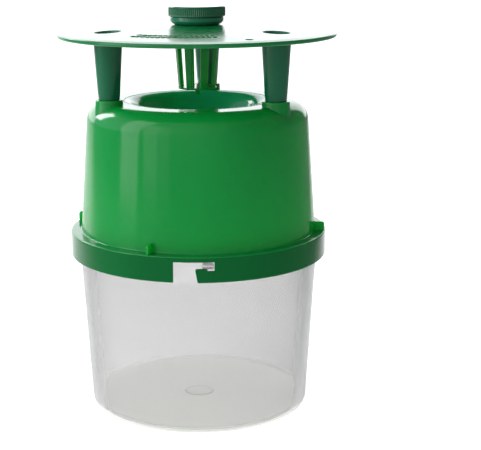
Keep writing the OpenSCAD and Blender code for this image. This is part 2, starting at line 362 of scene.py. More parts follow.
def settle(obj):
    """Applies an object's modifiers to its mesh."""
    bpy.context.view_layer.update()
    shown = obj.evaluated_get(bpy.context.evaluated_depsgraph_get())
    mesh = bpy.data.meshes.new_from_object(shown)
    obj.modifiers.clear()
    obj.data = mesh


def combine(target, tools, operation):
    """Boolean of a target with each tool, which are used up."""
    for tool in tools:
        modifier = target.modifiers.new("boolean", "BOOLEAN")
        modifier.operation = operation
        modifier.solver = "MANIFOLD"
        modifier.object = tool
        settle(target)
        bpy.data.objects.remove(tool)


def bevel_edges(obj, width):
    """Rounds the edges of an object that are sharper than BEVEL_ANGLE."""
    modifier = obj.modifiers.new("bevel", "BEVEL")
    modifier.width = width * MM
    modifier.segments = BEVEL_SEGMENTS
    modifier.limit_method = "ANGLE"
    modifier.angle_limit = math.radians(BEVEL_ANGLE)
    modifier.use_clamp_overlap = True
    settle(obj)


def even_shading(obj):
    """Smooth shading that keeps flat faces flat, and edges sharper than CRISP_ANGLE crisp."""
    obj.data.shade_smooth()
    obj.data.set_sharp_from_angle(angle=math.radians(CRISP_ANGLE))
    modifier = obj.modifiers.new("normals", "WEIGHTED_NORMAL")
    modifier.keep_sharp = True
    modifier.weight = 60


# ---------------------------------------------------------------- node tools
NODES_PER_ROW = 8
COLUMN_STEP = 220
ROW_STEP = 340
# Sockets of a Mix node that mixes colours: they share their names with those for plain numbers
MIX_COLOUR_A, MIX_COLOUR_B, MIX_COLOUR_RESULT = 6, 7, 2


def node(tree, kind, **settings):
    """New node with some settings, laid out in rows below the tree's first nodes."""
    made = tree.nodes.new(kind)
    row, column = divmod(len(tree.nodes), NODES_PER_ROW)
    made.location = (COLUMN_STEP * column, -ROW_STEP * (row + 1))
    for key, value in settings.items():
        setattr(made, key, value)
    return made


def feed(tree, socket, value):
    """Sets an input socket to a constant, or links it to another node's output."""
    if isinstance(value, bpy.types.NodeSocket):
        tree.links.new(value, socket)
    else:
        socket.default_value = value


def math_node(tree, operation, *values):
    """Result of a Math node."""
    made = node(tree, "ShaderNodeMath", operation=operation)
    for socket, value in zip(made.inputs, values):
        feed(tree, socket, value)
    return made.outputs["Value"]


def vector_node(tree, operation, *values):
    """Result of a Vector Math node: a number for a dot product or a length, and otherwise a vector."""
    made = node(tree, "ShaderNodeVectorMath", operation=operation)
    for socket, value in zip(made.inputs, values):
        feed(tree, socket, value)
    return made.outputs["Value" if operation in ("DOT_PRODUCT", "LENGTH") else "Vector"]


def vector_scale(tree, vector, share):
    """Constant vector times a share."""
    made = node(tree, "ShaderNodeVectorMath", operation="SCALE")
    made.inputs["Vector"].default_value = vector
    tree.links.new(share, made.inputs["Scale"])
    return made.outputs["Vector"]


def span(tree, value, start=0.0, end=1.0, low=0.0, high=1.0, curve="SMOOTHSTEP"):
    """Value that goes from low at start to high at end along a curve."""
    made = node(tree, "ShaderNodeMapRange", interpolation_type=curve)
    made.inputs["From Min"].default_value = start
    made.inputs["From Max"].default_value = end
    made.inputs["To Min"].default_value = low
    made.inputs["To Max"].default_value = high
    tree.links.new(value, made.inputs["Value"])
    return made.outputs["Result"]


def ramp(tree, value, stops):
    """Colour ramp over a value: stops are (position, colour)."""
    made = node(tree, "ShaderNodeValToRGB")
    elements = made.color_ramp.elements
    while len(elements) < len(stops):
        elements.new(0.5)
    for element, (position, colour) in zip(elements, stops):
        element.position = position
        element.color = colour
    tree.links.new(value, made.inputs["Fac"])
    return made.outputs["Color"]


def grey(value):
    """Opaque grey."""
    return (value, value, value, 1)


def scaled(colour, factor):
    """Opaque colour made brighter or darker."""
    return (*[min(1, c * factor) for c in colour], 1)


def own_place(tree):
    """Place in the object's own space, in metres."""
    return node(tree, "ShaderNodeTexCoord").outputs["Object"]


def noise_texture(tree, scale, detail, roughness=0.5, stretch=(1, 1, 1)):
    """Noise over the object's own space, in cycles per metre along each axis."""
    mapping = node(tree, "ShaderNodeMapping")
    mapping.inputs["Scale"].default_value = stretch
    texture = node(tree, "ShaderNodeTexNoise")
    texture.inputs["Scale"].default_value = scale
    texture.inputs["Detail"].default_value = detail
    texture.inputs["Roughness"].default_value = roughness
    tree.links.new(own_place(tree), mapping.inputs["Vector"])
    tree.links.new(mapping.outputs["Vector"], texture.inputs["Vector"])
    return texture.outputs["Fac"]


# ---------------------------------------------------------------- materials
def skin_bump(tree, grain, flow):
    """Normal with long shallow flow waves under a fine moulded grain."""
    waves = noise_texture(tree, scale=30, detail=2, stretch=(1, 1, 0.15))
    flow_bump = node(tree, "ShaderNodeBump")
    flow_bump.inputs["Strength"].default_value = flow
    flow_bump.inputs["Distance"].default_value = 0.0008
    tree.links.new(waves, flow_bump.inputs["Height"])
    fine = noise_texture(tree, scale=700, detail=3)
    fine_bump = node(tree, "ShaderNodeBump")
    fine_bump.inputs["Strength"].default_value = grain
    fine_bump.inputs["Distance"].default_value = 0.0003
    tree.links.new(flow_bump.outputs["Normal"], fine_bump.inputs["Normal"])
    tree.links.new(fine, fine_bump.inputs["Height"])
    return fine_bump.outputs["Normal"]


def plastic_base(name, colour, spread, roughness, grain, flow):
    """Material with drifting colour, uneven gloss and a moulded skin; gives its tree, shader and normal."""
    material = bpy.data.materials.new(name)
    material.use_nodes = True
    tree = material.node_tree
    shader = tree.nodes["Principled BSDF"]
    drift = noise_texture(tree, scale=14, detail=3, stretch=(1, 1, 0.35))
    tint = ramp(tree, drift, [(0.3, scaled(colour, 1 - spread)), (0.7, scaled(colour, 1 + spread))])
    tree.links.new(tint, shader.inputs["Base Color"])
    wear = noise_texture(tree, scale=60, detail=6, roughness=0.65)
    gloss = ramp(tree, wear, [(0.35, grey(roughness * 0.85)), (0.75, grey(roughness * 1.25))])
    tree.links.new(gloss, shader.inputs["Roughness"])
    normal = skin_bump(tree, grain, flow)
    tree.links.new(normal, shader.inputs["Normal"])
    shader.inputs["IOR"].default_value = 1.5
    return material, tree, shader, normal


def glow_through(tree, shader, normal, colour, share):
    """Mixes in light that passes through the wall from behind."""
    through = node(tree, "ShaderNodeBsdfTranslucent")
    through.inputs["Color"].default_value = (*colour, 1)
    tree.links.new(normal, through.inputs["Normal"])
    mix = node(tree, "ShaderNodeMixShader")
    mix.inputs["Fac"].default_value = share
    tree.links.new(shader.outputs["BSDF"], mix.inputs[1])
    tree.links.new(through.outputs["BSDF"], mix.inputs[2])
    tree.links.new(mix.outputs["Shader"], tree.nodes["Material Output"].inputs["Surface"])


def translucent_green(name):
    """Bright green polypropylene: glossy, and lit through from behind."""
    material, tree, shader, normal = plastic_base(
        name, (0.007, 0.325, 0.073), spread=0.10, roughness=0.12, grain=0.03, flow=0.15)
    glow_through(tree, shader, normal, (0.05, 0.95, 0.04), share=0.37)
    return material


def shaded_skirt_green(name):
    """The same green, painted darker as shade where the skirt doubles the wall, with weaker reflection."""
    material, tree, shader, normal = plastic_base(
        name, (0.002, 0.128, 0.028), spread=0.10, roughness=0.16, grain=0.04, flow=0.15)
    shader.inputs["Specular IOR Level"].default_value = 0.16
    glow_through(tree, shader, normal, (0.04, 0.7, 0.05), share=0.06)
    return material


def lit_funnel_green(name):
    """The green of the funnel insert, painted lighter and bluer as light and bluish reflection inside the
    funnel; less lit through.
    """
    material, tree, shader, normal = plastic_base(
        name, (0.02, 0.47, 0.22), spread=0.10, roughness=0.12, grain=0.03, flow=0.15)
    glow_through(tree, shader, normal, (0.06, 0.8, 0.15), share=0.3)
    return material


def satin_green(name):
    """The bright green with a satin skin and little light coming through, for the lid."""
    material, tree, shader, normal = plastic_base(
        name, (0.006, 0.2, 0.062), spread=0.08, roughness=0.21, grain=0.05, flow=0.2)
    glow_through(tree, shader, normal, (0.05, 0.9, 0.05), share=0.2)
    return material


def dense_green(name, colour):
    """Darker, bluer green polypropylene that lets little light through."""
    material, tree, shader, normal = plastic_base(
        name, colour, spread=0.10, roughness=0.1, grain=0.05, flow=0.15)
    glow_through(tree, shader, normal, (0.02, 0.3, 0.1), share=0.06)
    return material


def ring_shade(tree, radius, width, depth):
    """Factor that dips by depth on a ring round the bucket's axis, of a radius and width in millimetres."""
    flat = vector_node(tree, "MULTIPLY", own_place(tree), (1, 1, 0))
    reach = vector_node(tree, "LENGTH", flat)
    off = math_node(tree, "SUBTRACT", reach, radius * MM)
    apart = math_node(tree, "ABSOLUTE", off)
    return span(tree, apart, end=width * MM, low=1 - depth)


def clear_part(tree):
    """The share of light that goes straight through, with painted shade rings at the floor's rim and centre
    mark.
    """
    through = node(tree, "ShaderNodeBsdfRefraction")
    through.inputs["Roughness"].default_value = 0.12
    through.inputs["IOR"].default_value = 1.03
    rim = ring_shade(tree, FLOOR_RIM_R, width=1.6, depth=0.12)
    mark = ring_shade(tree, MARK_RING_R, width=1.5, depth=0.6)
    both = math_node(tree, "MULTIPLY", rim, mark)
    dimmed = ramp(tree, both, [(0, grey(0)), (1, (0.922, 0.918, 0.915, 1))])
    tree.links.new(dimmed, through.inputs["Color"])
    return through.outputs["BSDF"]


def bucket_height(tree):
    """Height in the bucket as a share of its whole height."""
    split = node(tree, "ShaderNodeSeparateXYZ")
    tree.links.new(own_place(tree), split.inputs["Vector"])
    return math_node(tree, "DIVIDE", split.outputs["Z"], BUCKET_TOP * MM)


# Shares of the bucket's height: its floor, where the floor's look ends and the wall's begins, and
# where the skirt covers the neck, with the length over which the wall's look turns into the neck's
FLOOR_SHARE = FLOOR_TOP / BUCKET_TOP
FLOOR_END = FLOOR_SHARE * 1.15
WALL_START = FLOOR_SHARE * 1.6
NECK_START = SKIRT_BOTTOM / BUCKET_TOP
NECK_BLEND = 0.03


def paint_floor_light(tree, socket, lit_floor_colour):
    """Turns a colour into a lighter one on the bucket's floor disc: painted light where the floor lies in
    shade.
    """
    mask = ramp(tree, bucket_height(tree), [(FLOOR_END, grey(1)), (WALL_START, grey(0))])
    mix = node(tree, "ShaderNodeMix", data_type="RGBA")
    tree.links.new(mask, mix.inputs["Factor"])
    wall_colour = socket.links[0].from_socket if socket.is_linked else socket.default_value
    feed(tree, mix.inputs[MIX_COLOUR_A], wall_colour)
    mix.inputs[MIX_COLOUR_B].default_value = lit_floor_colour
    tree.links.new(mix.outputs[MIX_COLOUR_RESULT], socket)


def clear_share(tree):
    """How clear the bucket is: milky in its floor, clearest at its neck, and drifting a little.

    It is less clear where the wall slants away, because light has more plastic to cross there.
    """
    floor, wall, neck = 0.58, 0.96, 1.05
    level = ramp(tree, bucket_height(tree), [
        (0, grey(floor)), (FLOOR_END, grey(floor)), (WALL_START, grey(wall)),
        (NECK_START - NECK_BLEND, grey(wall)), (NECK_START, grey(neck))])
    cloud = noise_texture(tree, scale=8, detail=2, stretch=(1, 1, 0.25))
    drift = span(tree, cloud, low=0.76, high=0.86, curve="LINEAR")
    slant = node(tree, "ShaderNodeLayerWeight")
    slant.inputs["Blend"].default_value = 0.5
    longer = span(tree, slant.outputs["Facing"], start=0.3, low=1, high=0.4, curve="SMOOTHERSTEP")
    return math_node(tree, "MULTIPLY", math_node(tree, "MULTIPLY", level, drift), longer)


def glossy_skin(tree, body):
    """Reflection of the wall's outer face over the body."""
    gloss = node(tree, "ShaderNodeBsdfGlossy")
    gloss.inputs["Roughness"].default_value = 0.2
    fresnel = node(tree, "ShaderNodeFresnel")
    fresnel.inputs["IOR"].default_value = 1.3
    inside = node(tree, "ShaderNodeNewGeometry")
    outer_only = node(tree, "ShaderNodeMix")
    tree.links.new(inside.outputs["Backfacing"], outer_only.inputs["Factor"])
    tree.links.new(fresnel.outputs["Fac"], outer_only.inputs["A"])
    outer_only.inputs["B"].default_value = 0
    skin = node(tree, "ShaderNodeMixShader")
    tree.links.new(outer_only.outputs["Result"], skin.inputs["Fac"])
    tree.links.new(body, skin.inputs[1])
    tree.links.new(gloss.outputs["BSDF"], skin.inputs[2])
    return skin.outputs["Shader"]


def frosted_plastic(name):
    """Thin milky polypropylene: mostly clear, with a scattering haze, slight absorption and a glossy skin."""
    material, tree, shader, normal = plastic_base(
        name, (0.34, 0.34, 0.34), spread=0.03, roughness=0.3, grain=0.01, flow=0.2)
    glow_through(tree, shader, normal, (0.8, 0.79, 0.795), share=0.64)
    # The floor disc's haze colours are painted lighter: painted light on the shaded floor.
    paint_floor_light(tree, shader.inputs["Base Color"], (0.9, 0.9, 0.87, 1))
    paint_floor_light(tree, tree.nodes["Translucent BSDF"].inputs["Color"], (0.97, 0.97, 0.94, 1))
    out = tree.nodes["Material Output"]
    haze = out.inputs["Surface"].links[0].from_socket
    body = node(tree, "ShaderNodeMixShader")
    tree.links.new(clear_share(tree), body.inputs["Fac"])
    tree.links.new(haze, body.inputs[1])
    tree.links.new(clear_part(tree), body.inputs[2])
    tree.links.new(glossy_skin(tree, body.outputs["Shader"]), out.inputs["Surface"])
    dim = node(tree, "ShaderNodeVolumeAbsorption")
    dim.inputs["Color"].default_value = (0.5, 0.5, 0.49, 1)
    dim.inputs["Density"].default_value = 65
    tree.links.new(dim.outputs["Volume"], out.inputs["Volume"])
    return material


def milky_plastic(name):
    """White vial plastic with soft scattering."""
    material, tree, shader, normal = plastic_base(
        name, (0.78, 0.8, 0.78), spread=0.04, roughness=0.3, grain=0.05, flow=0.1)
    glow_through(tree, shader, normal, (0.9, 0.9, 0.88), share=0.25)
    return material


bright = translucent_green("bright_green_plastic")
# The skirt's green is a darker copy of the bright green: painted shade.
skirt = shaded_skirt_green("bright_green_skirt_painted_shade")
# The funnel's green is a lighter, bluer copy of the bright green: painted light and painted reflection.
insert = lit_funnel_green("bright_green_funnel_painted_light")
satin = satin_green("bright_green_lid")
dark = dense_green("dark_green_plastic", (0.006, 0.15, 0.064))
# The collar's green is a lighter copy of the dark green: painted light for its shaded place under the cap.
lit_collar_green = dense_green("dark_green_collar_painted_light", (0.016, 0.21, 0.10))
clear = frosted_plastic("frosted_plastic")
milky = milky_plastic("milky_plastic")


def finish_piece(obj, material, body, cad_node):
    """Gives a piece its material and its body, and hides the CAD node it stands for."""
    obj.data.materials.clear()
    obj.data.materials.append(material)
    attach(obj, body)
    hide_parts(cad_node)


# ---------------------------------------------------------------- bucket
def bayonet_places(r):
    """Matrices that put a prism at a radius in front of each bayonet lock."""
    step = 360 / BAYONETS
    return [turned(BAYONET_ANGLE + 90 + i * step) @ shifted(0, -r) for i in range(BAYONETS)]


def make_bucket():
    """Bucket with a stepped neck, a standing ring, a moulding mark and three lugs."""
    outer_top = bucket_r(NECK_Z)
    inner_top = outer_top - BUCKET_WALL - NECK_STEP
    foot_r = BUCKET_BASE_R - FOOT_INSET
    mark = [(r, FLOOR_TOP + up, rounding) for r, up, rounding in FLOOR_MARK]
    outline = rounded([
        (0, FOOT_H, 0), (foot_r - 0.9, FOOT_H, 0.5), (foot_r, 0, 0.4), (BUCKET_BASE_R, 0, BUCKET_CORNER),
        (outer_top, NECK_Z, 0.35), (outer_top - NECK_STEP, NECK_Z, 0.2),
        (outer_top - NECK_STEP, BUCKET_TOP, 0.5), (inner_top, BUCKET_TOP, 0.5),
        (inner_top, NECK_Z - 1, 0.4), (outer_top - BUCKET_WALL, NECK_Z - 2.2, 0.4),
        (BUCKET_BASE_R + 0.1 - BUCKET_WALL, FLOOR_TOP, FLOOR_FILLET), *mark])
    bucket = lathe("bucket_shell", outline, segments=288)
    lug_inner_r = outer_top - BUCKET_WALL + 0.2
    block = [(LUG_LEFT, LUG_LOW), (LUG_RIGHT, LUG_LOW), (LUG_RIGHT, LUG_HIGH), (LUG_LEFT, LUG_HIGH)]
    lugs = [prism("lug", block, LUG_OUTER_R - lug_inner_r, place, bevel=0.3)
            for place in bayonet_places(LUG_OUTER_R)]
    combine(bucket, lugs, "UNION")
    even_shading(bucket)
    finish_piece(bucket, clear, "bucket", "bucket")


# ---------------------------------------------------------------- funnel housing
def housing_outline():
    """Section of the housing: up the spigot, out to the skirt, up the wall and in to the funnel's seat."""
    spigot_r = bucket_r(NECK_Z) - BUCKET_WALL - NECK_STEP - SPIGOT_GAP
    under = SHELF_Z - SHELF_T
    skirt_in = SKIRT_R - SKIRT_T
    seat = PLATEAU_Z - FUNNEL_T - RECESS_PLAY
    seat_r = RIM_R + RECESS_GAP
    hole_r = RIM_R - HOLE_INSET
    return rounded([
        (spigot_r - WALL_T, SPIGOT_BOTTOM, 0.4), (spigot_r, SPIGOT_BOTTOM, 0.4), (spigot_r, under, 0.4),
        (skirt_in, under, 0.6), (skirt_in, SKIRT_BOTTOM, 0.5), (SKIRT_R, SKIRT_BOTTOM, 0.7),
        (SKIRT_R, SHELF_Z, 0.8), (WALL_BASE_R, SHELF_Z, 0.7), (wall_r(PLATEAU_Z), PLATEAU_Z, SHOULDER_R),
        (seat_r, PLATEAU_Z, 0.35), (seat_r, seat, 0.1), (hole_r, seat, 0.2), (hole_r, seat - WALL_T, 0.2),
        (seat_r + WALL_T, seat - WALL_T, 0.2), (seat_r + WALL_T, PLATEAU_Z - WALL_T, 0.2),
        (wall_r(PLATEAU_Z) - WALL_T, PLATEAU_Z - WALL_T, SHOULDER_R - WALL_T),
        (spigot_r - WALL_T, SHELF_Z, 2)])


def slot_cutters():
    """Bayonet slots: entry from below, arm to the right and a step down at its end."""
    outline = [
        (SLOT_LEFT, SLOT_CUT_LOW), (SLOT_LEFT, SLOT_TOP), (SLOT_RIGHT, SLOT_TOP),
        (SLOT_RIGHT, DETENT_Z), (DETENT_X, DETENT_Z), (DETENT_X, ARM_Z), (ENTRY_TOP_X + 0.7, ARM_Z),
        (ENTRY_TOP_X + 0.2, ARM_Z - 0.2), (ENTRY_TOP_X, ARM_Z - 0.75), (ENTRY_LOW_X, SLOT_CUT_LOW)]
    return [prism("slot", outline, 8, place) for place in bayonet_places(SKIRT_R + 4)]


def shelf_ribs():
    """Small upright ribs on the shelf, against the wall."""
    inner = wall_r(SHELF_Z + RIB_H) - 0.8
    outer = SKIRT_R - 0.3
    outline = rounded([
        (inner, SHELF_Z - 0.5, 0), (outer - 0.8, SHELF_Z - 0.5, 0), (outer, SHELF_Z + 0.4, 0.3),
        (outer, SHELF_Z + RIB_H, 1.5), (inner, SHELF_Z + RIB_H, 0)], steps=4)
    return [prism("rib", outline, RIB_T, turned(angle) @ shifted(0, -RIB_T / 2), bevel=0.25)
            for angle in RIB_ANGLES]


def at_each_leg(name, outline):
    """The same turned solid at the place of each leg."""
    return [lathe(name, outline, segments=96, centre=polar(LEG_CIRCLE_R, a)) for a in LEG_ANGLES.values()]


def leg_sockets():
    """Solid sockets that stand out of the plateau and reach down inside it."""
    outline = rounded([
        (0, SOCKET_FLOOR - WALL_T, 0), (SOCKET_TUBE_R, SOCKET_FLOOR - WALL_T, 0.4),
        (SOCKET_TUBE_R, SOCKET_FOOT_Z, 0), (SOCKET_FOOT_R, SOCKET_FOOT_Z + 0.5, 0),
        (SOCKET_R + 0.15, SOCKET_TOP - 3, 0), (SOCKET_R, SOCKET_TOP, 0.5), (0, SOCKET_TOP, 0)], steps=4)
    return at_each_leg("socket", outline)


def socket_bores():
    """Bores of the sockets, with an eased mouth."""
    outline = [(0, SOCKET_FLOOR), (SOCKET_BORE_R, SOCKET_FLOOR), (SOCKET_BORE_R, SOCKET_TOP - 0.5),
               (SOCKET_BORE_R + 0.4, SOCKET_TOP - 0.1), (SOCKET_BORE_R + 0.6, SOCKET_TOP + 2),
               (0, SOCKET_TOP + 2)]
    return at_each_leg("bore", outline)


def make_housing():
    """Housing with slots, ribs and sockets; all below the shelf's edge has the skirt's green, painted darker
    as shade.
    """
    housing = lathe("housing_shell", housing_outline(), segments=300, phase=0.37)
    combine(housing, slot_cutters(), "DIFFERENCE")
    bevel_edges(housing, 0.3)
    combine(housing, shelf_ribs() + leg_sockets(), "UNION")
    combine(housing, socket_bores(), "DIFFERENCE")
    even_shading(housing)
    finish_piece(housing, bright, "housing", "funnel_housing")
    # Faces below the shelf's edge take the darker skirt green: painted shade.
    housing.data.materials.append(skirt)
    skirt_edge = (SHELF_Z - 0.6) * MM
    for face in housing.data.polygons:
        if face.center.z < skirt_edge:
            face.material_index = 1


def make_funnel():
    """Funnel insert: the lip's arc meets the cone where the cone's slope is reached."""
    cone = math.radians(CONE_ANGLE)
    slope = math.tan(cone)
    lip_end_r = RIM_R - LIP_INSET - LIP_R * math.cos(cone)
    lip_end_z = PLATEAU_Z - LIP_R + LIP_R * math.sin(cone)
    throat_z = lip_end_z - (lip_end_r - SPOUT_R) / slope
    corner_r = lip_end_r + (PLATEAU_Z - lip_end_z) * slope
    thick = FUNNEL_T / math.cos(cone)
    spout_z = FUNNEL_LOW.z
    outline = rounded([
        (RIM_R, PLATEAU_Z, 0.35), (corner_r, PLATEAU_Z, LIP_R), (SPOUT_R, throat_z, 4),
        (SPOUT_R, spout_z, 0.5), (SPOUT_R + FUNNEL_T, spout_z, 0.5), (SPOUT_R + FUNNEL_T, throat_z, 5),
        (corner_r + thick - FUNNEL_T * slope, PLATEAU_Z - FUNNEL_T, LIP_R - FUNNEL_T),
        (RIM_R, PLATEAU_Z - FUNNEL_T, 0.35)])
    funnel = lathe("funnel_shell", outline)
    finish_piece(funnel, insert, "housing", "funnel_cone")


# ---------------------------------------------------------------- lid and legs
def lid_bars():
    """Two short rows of plain raised bars, a neutral pattern on the lid's front left."""
    half = MARK_BAR_W / 2
    block = [(-half, -MARK_BAR_ROOT), (half, -MARK_BAR_ROOT), (half, MARK_BAR_RISE), (-half, MARK_BAR_RISE)]
    bars = []
    for r, count, step in BAR_ROWS:
        for k in range(count):
            angle = ROW_START + k * step
            place = (shifted(*polar(r, angle), lid_top(r)) @ turned(angle + 90 - MARK_BAR_LEAN)
                     @ shifted(0, -MARK_BAR_L / 2))
            bars.append(prism("bar", block, MARK_BAR_L, place, bevel=0.15))
    return bars


def lid_cutter(r, centre, segments):
    """Upright cylinder that cuts a hole of a radius through the lid."""
    outline = [(0, LID_CUT_LOW), (r, LID_CUT_LOW), (r, LID_CUT_HIGH), (0, LID_CUT_HIGH)]
    return lathe("hole", outline, segments=segments, centre=centre)


def make_lid():
    """Conical lid with a turned-down rim, the legs' mouths, a hanging hole and the raised bars."""
    bevel_z = lid_top(LID_BEVEL_R)
    outline = rounded([
        (LID_HOLE_R, LID_TOP - LID_T, 0.3), (LID_HOLE_R, LID_TOP, 0.3), (LID_FLAT_R, LID_TOP, 12),
        (LID_BEVEL_R, bevel_z, 6), (LID_R, LID_EDGE_Z, 0.8), (LID_R, LID_LOW.z, 0.8),
        (LID_R - 2.6, LID_LOW.z, 0.5), (LID_R - 3.4, bevel_z - LID_T - 0.2, 0.4),
        (LID_FLAT_R, LID_TOP - LID_T, 12)])
    lid = lathe("lid_plate", outline, segments=320, phase=0.41)
    cutters = [lid_cutter(NECK_HOLE_R, polar(LEG_CIRCLE_R, angle), 96) for angle in LEG_ANGLES.values()]
    combine(lid, cutters + [lid_cutter(HANG_HOLE_R, HANG_HOLE, 48)], "DIFFERENCE")
    bevel_edges(lid, 0.25)
    combine(lid, lid_bars(), "UNION")
    even_shading(lid)
    finish_piece(lid, satin, "lid", "lid")


def make_leg(name):
    """Hollow tapered leg whose upper end follows the lid's slope."""
    mid_top = lid_top(LEG_CIRCLE_R)
    under = mid_top - LID_T - 0.02
    foot = mm_box(name)[0].z
    seat = SOCKET_TOP + SEAT_GAP
    bead = SOCKET_TOP + LEG_BEAD_H
    mouth = mid_top - 0.15
    neck_r = NECK_HOLE_R - NECK_PLAY
    bore_r = SPIGOT_R - LEG_WALL
    outline = rounded([
        (0, foot, 0), (SPIGOT_R - 0.3, foot, 0.5), (SPIGOT_R, foot + 1.2, 0.5), (SPIGOT_R, seat, 0.05),
        (LEG_FOOT_R - 0.4, seat, 0.15), (LEG_FOOT_R - 0.12, bead - 0.7, 0.2), (LEG_FOOT_R, bead, 0.3),
        (LEG_TOP_R, under, 0.1), (neck_r, under, 0.05), (neck_r, mouth, 0.2),
        (NECK_HOLE_R - 0.6, mouth, 0.2), (NECK_HOLE_R - 0.8, mid_top - 3, 1), (bore_r, bead, 1),
        (bore_r, foot + LEG_FLOOR_T, 0.5), (0, foot + LEG_FLOOR_T, 0)], steps=4)

    def follow_lid(x, y, z, _):
        if z > under - 1:
            z += lid_top(math.hypot(x, y)) - mid_top
        return x, y, z

    centre = polar(LEG_CIRCLE_R, LEG_ANGLES[name])
    leg = lathe(name + "_post", outline, segments=120, centre=centre, shape=follow_lid)
    finish_piece(leg, dark, "lid", name)


# ---------------------------------------------------------------- cage, collar, cap and vial
def cage_bar(angle):
    """One bar: a rounded strip lofted up the cage's cone."""
    low, high = CAGE_FOOT_Z + 0.4, CAGE_RING_Z + 1
    bm = bmesh.new()
    rings = []
    for k in range(BAR_LEVELS + 1):
        z = low + (high - low) * k / BAR_LEVELS
        outer = cage_r(z) - 0.02
        half = math.radians(BAR_ANGLE / 2) * outer
        section = rounded([
            (-half, -BAR_T / 2, 0.4), (half, -BAR_T / 2, 0.4), (half, BAR_T / 2, 0.55),
            (-half, BAR_T / 2, 0.55)], steps=4, support=0.2)
        ring = []
        for across, out in section:
            r = outer - BAR_T / 2 + out
            a = math.radians(angle) + across / outer
            ring.append(bm.verts.new((r * math.cos(a) * MM, r * math.sin(a) * MM, z * MM)))
        rings.append(ring)
    for low_ring, high_ring in zip(rings, rings[1:]):
        for i in range(len(low_ring)):
            j = (i + 1) % len(low_ring)
            bm.faces.new((low_ring[i], low_ring[j], high_ring[j], high_ring[i]))
    bm.faces.new(list(reversed(rings[0])))
    bm.faces.new(rings[-1])
    return object_from("bar", bm)


def make_cage():
    """Lure cage: floor with its stud, bars and ring in one."""
    top = CAGE_HIGH.z
    ring = rounded([
        (CAGE_RING_BORE_R, CAGE_RING_Z, 0.3), (cage_r(CAGE_RING_Z), CAGE_RING_Z, 0.4),
        (CAGE_TOP_R, top, 0.3), (CAGE_RING_BORE_R, top, 0.3)], steps=3)
    floor_z = CAGE_FOOT_Z + CAGE_FLOOR_T
    floor = rounded([
        (0, CAGE_LOW.z, 0), (STUD_R, CAGE_LOW.z, 0.35), (STUD_R, CAGE_FOOT_Z, 0.3),
        (CAGE_FOOT_R, CAGE_FOOT_Z, 0.35), (CAGE_FOOT_R, floor_z, 0.3), (0, floor_z, 0)], steps=3)
    cage = lathe("cage_basket", floor, segments=160)
    bars = [cage_bar(BAR_START + i * 360 / BAR_COUNT) for i in range(BAR_COUNT)]
    combine(cage, bars + [lathe("ring", ring, segments=160)], "UNION")
    even_shading(cage)
    finish_piece(cage, bright, "lid", "lure_cage")


def make_collar():
    """Collar that flares up from the lid, with a spigot in the lid's middle hole."""
    low, top, r = COLLAR_LOW.z, COLLAR_HIGH.z, COLLAR_HIGH.x
    seat = LID_TOP + SEAT_GAP
    spigot_r = LID_HOLE_R - COLLAR_PLAY
    outline = rounded([
        (COLLAR_BORE_R, low, 0.3), (spigot_r, low, 0.3), (spigot_r, seat, 0.1), (COLLAR_FOOT_R, seat, 0.15),
        (COLLAR_MID_R, seat + COLLAR_MID_H, 1.5), (r, seat + COLLAR_FLARE_H, 1.0), (r, top, 0.45),
        (COLLAR_BORE_R, top, 0.3)], steps=4)
    collar = lathe("collar_ring", outline, segments=200)
    # The collar takes the lighter copy of the dark green: painted light.
    finish_piece(collar, lit_collar_green, "lid", "cage_collar")


def cap_outline():
    """The cap's section, with extra rings up its side for the flutes."""
    dome, low = CAP_HIGH.z, CAP_LOW.z
    top = CAP_Z + CAP_H
    roof = top - CAP_ROOF_T
    bore_top = CAP_Z + BOSS_BORE_TOP
    boss_low = CAP_Z + BOSS_LOW
    side = [(CAP_R, CAP_Z + up, 0) for up in SIDE_RINGS]
    return rounded([
        (0, dome, 0), (4, dome - 0.04, 9), (11, top + 0.03, 2), (CAP_R - 0.55, top, 0.3),
        (CAP_R, top - 0.5, 0.4), (CAP_R, top - 0.75, 0), *side, (CAP_R, CAP_Z, 0.35),
        (CAP_SKIRT_IN_R, CAP_Z, 0.3), (CAP_SKIRT_IN_R, roof, 0.5), (PLUG_R, roof, 0.4),
        (PLUG_R, low, 0.5), (PLUG_BORE_R, low, 0.4), (PLUG_BORE_R, roof, 0.5), (BOSS_R, roof, 0.4),
        (BOSS_R, boss_low, 0.4), (BOSS_BORE_R, boss_low, 0.3), (BOSS_BORE_R, bore_top, 0),
        (0, bore_top, 0)], steps=4)


def make_cap():
    """Screw cap with shallow flutes that fade out at both ends of its side."""
    foot, head = CAP_Z + FLUTE_LOW, CAP_Z + FLUTE_HIGH

    def flute(x, y, z, a):
        r = math.hypot(x, y)
        if r > CAP_R - SIDE_DEPTH and foot < z < head:
            fade = min(1, (z - foot) / FLUTE_FADE, (head - z) / FLUTE_FADE)
            cut = FLUTE_DEPTH * fade * (0.5 + 0.5 * math.cos(a * FLUTES)) ** 1.5
            x, y = x * (r - cut) / r, y * (r - cut) / r
        return x, y, z

    cap = lathe("cap_knurled", cap_outline(), segments=FLUTES * 8, shape=flute)
    finish_piece(cap, dark, "cap", "cage_cap")


def make_vial():
    """Round-bottomed lure vial."""
    low, top, r = VIAL_LOW.z, VIAL_HIGH.z, VIAL_HIGH.x
    bore_r, bore_low = r - VIAL_WALL, low + VIAL_WALL
    outline = rounded([
        (0, low, 0), (r, low, 1.6), (r, top, 0.25), (bore_r, top, 0.25), (bore_r, bore_low, 1.0),
        (0, bore_low, 0)])
    vial = lathe("vial_tube", outline, segments=72)
    finish_piece(vial, milky, "lure", "lure_vial")


